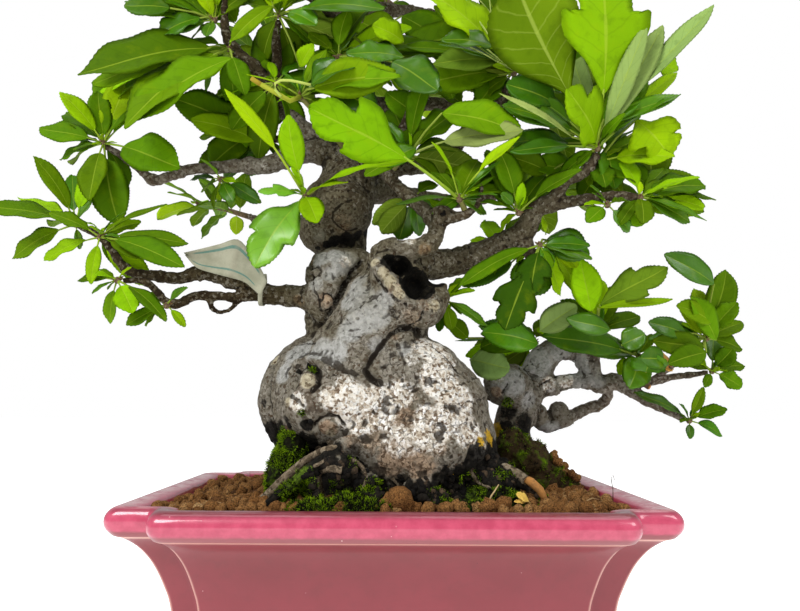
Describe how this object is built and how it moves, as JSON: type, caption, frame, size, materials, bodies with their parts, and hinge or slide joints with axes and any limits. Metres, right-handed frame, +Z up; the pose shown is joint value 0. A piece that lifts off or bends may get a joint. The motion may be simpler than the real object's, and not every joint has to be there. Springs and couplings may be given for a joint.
{
  "type": "crabapple bonsai tree in a glazed pot",
  "caption": "Old crabapple bonsai with a swollen mossy trunk and leafy twisting branches, standing in a rectangular glazed ceramic pot with indented corners.",
  "frame": {"origin": "middle of the pot's footprint, on the surface that the pot stands on", "axes": "+Z up, the tree's front and the pot's long front side face -Y, +X runs along the pot's long side to the right as seen from the front"},
  "size_m": [0.551, 0.3473, 0.6595],
  "materials": {
    "glaze": "gloss",
    "soil": "matte",
    "bark": "matte",
    "moss": "matte",
    "leaf": "satin",
    "fruit": "satin",
    "paper": "matte",
    "dead_leaf": "matte",
    "plastic": "matte",
    "wire": "satin"
  },
  "bodies": {
    "root": {"drain_mesh_left": "plastic", "drain_mesh_right": "plastic", "dry_leaf": "dead_leaf", "fallen_leaf": "dead_leaf", "mesh_clip_left": "wire", "mesh_clip_right": "wire", "moss_back": "moss", "moss_front": "moss", "moss_left": "moss", "moss_right": "moss", "plant_tag": "paper", "pot": "glaze", "shoot_apex": "leaf", "shoot_back_high": "leaf", "shoot_back_left": "leaf", "shoot_back_right": "leaf", "shoot_centre_arch": "leaf", "shoot_centre_back": "leaf", "shoot_centre_lobed": "leaf", "shoot_centre_under": "leaf", "shoot_cluster_back": "leaf", "shoot_cluster_glossy": "leaf", "shoot_cluster_low_tip": "leaf", "shoot_cluster_right": "leaf", "shoot_cluster_shoot": "leaf", "shoot_cluster_upper_tip": "leaf", "shoot_crown_back": "leaf", "shoot_crown_front": "leaf", "shoot_crown_left": "leaf", "shoot_crown_left_back": "leaf", "shoot_crown_left_mid": "leaf", "shoot_crown_right": "leaf", "shoot_crown_right_back": "leaf", "shoot_crown_right_mid": "leaf", "shoot_dark_middle": "leaf", "shoot_front_bright": "leaf", "shoot_fruit_spur": "leaf", "shoot_hollow_shoot": "leaf", "shoot_left_back": "leaf", "shoot_left_low_far": "leaf", "shoot_left_low_mid": "leaf", "shoot_left_low_tip": "leaf", "shoot_left_low_under": "leaf", "shoot_left_up_spur": "leaf", "shoot_left_up_tip": "leaf", "shoot_right_back_leaf": "leaf", "shoot_right_fork": "leaf", "shoot_right_low_tip": "leaf", "shoot_right_low_under": "leaf", "shoot_right_rosette": "leaf", "shoot_right_rosette_low": "leaf", "shoot_right_twig": "leaf", "shoot_top_left_big": "leaf", "shoot_top_left_front": "leaf", "shoot_top_left_spur": "leaf", "shoot_top_left_stem": "leaf", "shoot_yellow_shoot": "leaf", "soil": "soil", "trunk": "bark"}
  },
  "joints": []
}
